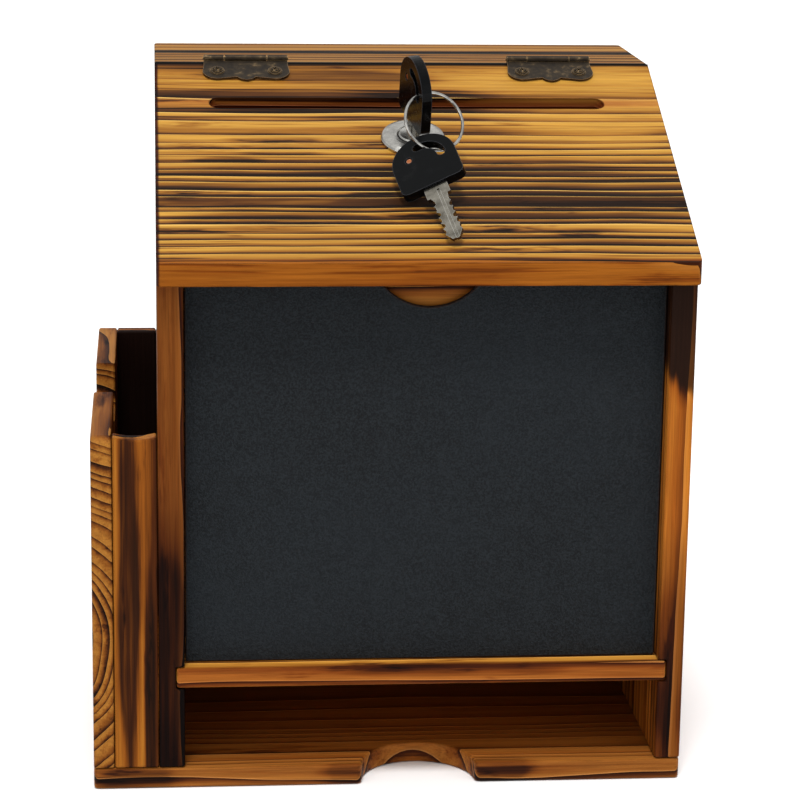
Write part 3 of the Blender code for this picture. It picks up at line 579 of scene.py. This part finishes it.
def bronze(name, dark, light):
    """Aged bronze, mottled and rubbed bright on its edges."""
    m = Material(name)
    at = m.place
    mottled = m.noise(at, 260, 4, 0.6, 3.0)
    grit = m.noise(at, 2400, 3, 0.6, 5.0)
    worn = m.math("ADD", m.times(m.edges(0.0005), 0.75), m.smooth(mottled, 0.56, 0.74, 0.0, 0.35),
                  clamp=True)
    tone = m.mix(m.smooth(mottled, 0.3, 0.7), dark, light)
    m.set("Base Color", m.mix(worn, tone, colour(160, 132, 92)))
    m.set("Metallic", 0.85)
    m.set("Roughness", m.math("SUBTRACT", m.smooth(grit, 0.2, 0.8, 0.40, 0.58, "LINEAR"),
                              m.times(worn, 0.12)))
    m.set("Normal", m.relief(m.add(m.times(mottled, 0.5), m.times(grit, 0.3)), 0.00012, 0.7))
    return m.material


def metal(name, tone, dull, rough, seed, turned=None):
    """A bright metal with fine handling marks; turned is (point, axis) of a turned face."""
    m = Material(name)
    at = m.place
    cloud = m.noise(at, 180, 3, 0.6, seed)
    scratch = m.noise(at, (300, 2600, 2600), 3, 0.7, seed + 2)
    if turned is not None:
        point, axis = turned
        off = m.vector("SUBTRACT", at, tuple(point))
        spread = m.vector("LENGTH", m.vector("CROSS_PRODUCT", off, tuple(axis)))
        rings = m.noise(m.join(spread), 5200, 2, 0.6, seed + 4)
        scratch = m.add(m.times(scratch, 0.4), m.times(rings, 0.6))
    base = m.mix(m.smooth(cloud, 0.3, 0.7), tone, dull)
    base = m.mix(m.times(m.edges(0.0003), 0.5), base, colour(236, 234, 228))
    m.set("Base Color", base)
    m.set("Metallic", 1.0)
    m.set("Roughness", m.smooth(scratch, 0.25, 0.75, rough - 0.07, rough + 0.09, "LINEAR"))
    m.set("Normal", m.relief(scratch, 0.00003, 0.6))
    return m.material


def plastic():
    """Black moulded plastic, with a painted highlight along its edges."""
    m = Material("key_head_plastic")
    cast = m.noise(m.place, 2400, 3, 0.6, 2.0)
    wear = m.smooth(m.noise(m.place, 160, 4, 0.65, 4.0), 0.5, 0.75)
    tone = m.mix(wear, colour(4, 5, 6), colour(10, 11, 12))
    # The pale colour along the edges is a painted highlight.
    m.set("Base Color", m.mix(m.times(m.edges(0.0005), 0.4), tone, colour(96, 98, 104)))
    m.set("Roughness", m.smooth(wear, 0.0, 1.0, 0.20, 0.34, "LINEAR"))
    m.set("Specular IOR Level", 0.09)
    m.set("Normal", m.relief(cast, 0.00005, 0.5))
    return m.material


def dress_hardware():
    """Everything that isn't wood."""
    plate = bronze("antique_bronze_plate", colour(34, 27, 20), colour(60, 49, 34))
    # The screws' bronze is darker, painted shade for the recesses in their heads.
    shaded_screw_bronze = bronze("antique_bronze_screw", colour(14, 11, 8), colour(26, 21, 15))
    nickel = metal("lock_nickel", colour(196, 194, 188), colour(156, 154, 149), 0.20, 1.0,
                   (LOCK, LID_NORMAL))
    steel = metal("key_steel", colour(146, 142, 131), colour(98, 94, 85), 0.22, 3.0)
    wire = metal("ring_steel", colour(176, 174, 169), colour(132, 130, 126), 0.12, 5.0)
    rivet = metal("rivet_copper", colour(196, 122, 78), colour(150, 86, 52), 0.34, 7.0)
    black = plastic()
    dressed = {
        nickel: ("lock_body", "lock_nut", "lock_plug"),
        steel: ("lock_cam", "cam_screw", "key_blade", "spare_key_blade"),
        black: ("key_head", "spare_key_head"),
        rivet: ("key_rivet", "spare_key_rivet"),
        wire: ("key_ring",),
        chalkboard_paint(): ("chalkboard",),
        plate: [name for name in NODES if "hinge" in name],
        shaded_screw_bronze: [name for name in NODES if "_screw_" in name],
    }
    for material, names in dressed.items():
        for name in names:
            paint(name, material)


def soften_key_heads():
    for name in ("key_head", "spare_key_head"):
        rounding = NODES[name].modifiers.new("moulded_edges", "BEVEL")
        rounding.width, rounding.segments = 0.0009, 3
        rounding.limit_method, rounding.angle_limit = "ANGLE", math.radians(50)


def smooth_shading():
    for node in NODES.values():
        with bpy.context.temp_override(object=node, active_object=node, selected_objects=[node],
                                       selected_editable_objects=[node]):
            bpy.ops.object.shade_smooth_by_angle(angle=math.radians(32))


def make_floor():
    m = Material("studio_floor")
    m.set("Base Color", (0.93, 0.93, 0.93, 1.0))
    m.set("Roughness", 0.9)
    m.set("Specular IOR Level", 0.1)
    mesh = bpy.data.meshes.new("studio_floor")
    corners = [(x * FLOOR_REACH, y * FLOOR_REACH, 0.0)
               for x, y in ((-1, -1), (1, -1), (1, 1), (-1, 1))]
    mesh.from_pydata(corners, [], [(0, 1, 2, 3)])
    mesh.materials.append(m.material)
    floor = bpy.data.objects.new("studio_floor", mesh)
    floor.location.z = CAD_BOX[0][2] - FLOOR_GAP
    bpy.context.scene.collection.objects.link(floor)


def add_lamp(name, data, place, aim):
    """A lamp that stands at a place and shines along aim."""
    lamp = bpy.data.objects.new(name, data)
    lamp.location = place
    lamp.rotation_mode = "QUATERNION"
    lamp.rotation_quaternion = Vector(aim).to_track_quat("-Z", "Y")
    bpy.context.scene.collection.objects.link(lamp)


def soft_box(name, place, side, watts):
    """A square soft light that faces the middle of the box."""
    data = bpy.data.lights.new(name, "AREA")
    data.shape = "RECTANGLE"
    data.size = data.size_y = side
    data.energy = watts
    add_lamp(name, data, place, Vector((0.0, 0.0, 0.15)) - Vector(place))


def make_world():
    """White all round, brighter towards the top than at the horizon."""
    horizon, above, rise_to = 0.28, 0.95, 0.75
    world = bpy.data.worlds.new("studio")
    world.use_nodes = True
    nodes, link = world.node_tree.nodes, world.node_tree.links.new
    back = nodes["Background"]
    aim = nodes.new("ShaderNodeTexCoord")
    split = nodes.new("ShaderNodeSeparateXYZ")
    rise = nodes.new("ShaderNodeMapRange")
    for socket, value in zip(list(rise.inputs)[1:5], (0.0, rise_to, horizon, above)):
        socket.default_value = value
    link(aim.outputs["Generated"], split.inputs[0])
    link(split.outputs["Z"], rise.inputs["Value"])
    link(rise.outputs[0], back.inputs["Strength"])
    back.inputs["Color"].default_value = (1.0, 1.0, 1.0, 1.0)
    bpy.context.scene.world = world


def make_light():
    make_world()
    overhead = bpy.data.lights.new("overhead", "SUN")
    overhead.energy, overhead.angle = 2.0, math.radians(13)
    add_lamp("overhead", overhead, (0.0, 0.0, 0.0), (0.06, 0.36, -0.93))
    soft_box("front_left", (-1.0, -1.3, 0.8), 0.9, 3)
    soft_box("front_right", (1.1, -1.2, 0.6), 0.8, 2)


def make_camera():
    """The view's lens and place, from the box's own corners seen in perspective."""
    data = bpy.data.cameras.new("view")
    data.sensor_width, data.lens = 36.0, 123.8
    camera = bpy.data.objects.new("view", data)
    yaw, pitch, roll = math.radians(5.232), math.radians(13.712), math.radians(0.838)
    ahead = Vector((math.sin(yaw) * math.cos(pitch), math.cos(yaw) * math.cos(pitch),
                    -math.sin(pitch)))
    right = Vector((math.cos(yaw), -math.sin(yaw), 0.0))
    up = right.cross(ahead)
    side = right * math.cos(roll) + up * math.sin(roll)
    top = up * math.cos(roll) - right * math.sin(roll)
    turn = Matrix((side, top, -ahead)).transposed()
    camera.matrix_world = Matrix.Translation((-0.0997, -1.2184, 0.4439)) @ turn.to_4x4()
    bpy.context.scene.collection.objects.link(camera)
    bpy.context.scene.camera = camera


make_camera()
make_floor()
make_light()
dress_lid()
dress_top()
dress_sides()
dress_chest()
dress_base()
dress_pocket()
dress_hardware()
fill_joints()
smooth_shading()
soften_key_heads()
bpy.context.scene.view_settings.view_transform = "Standard"
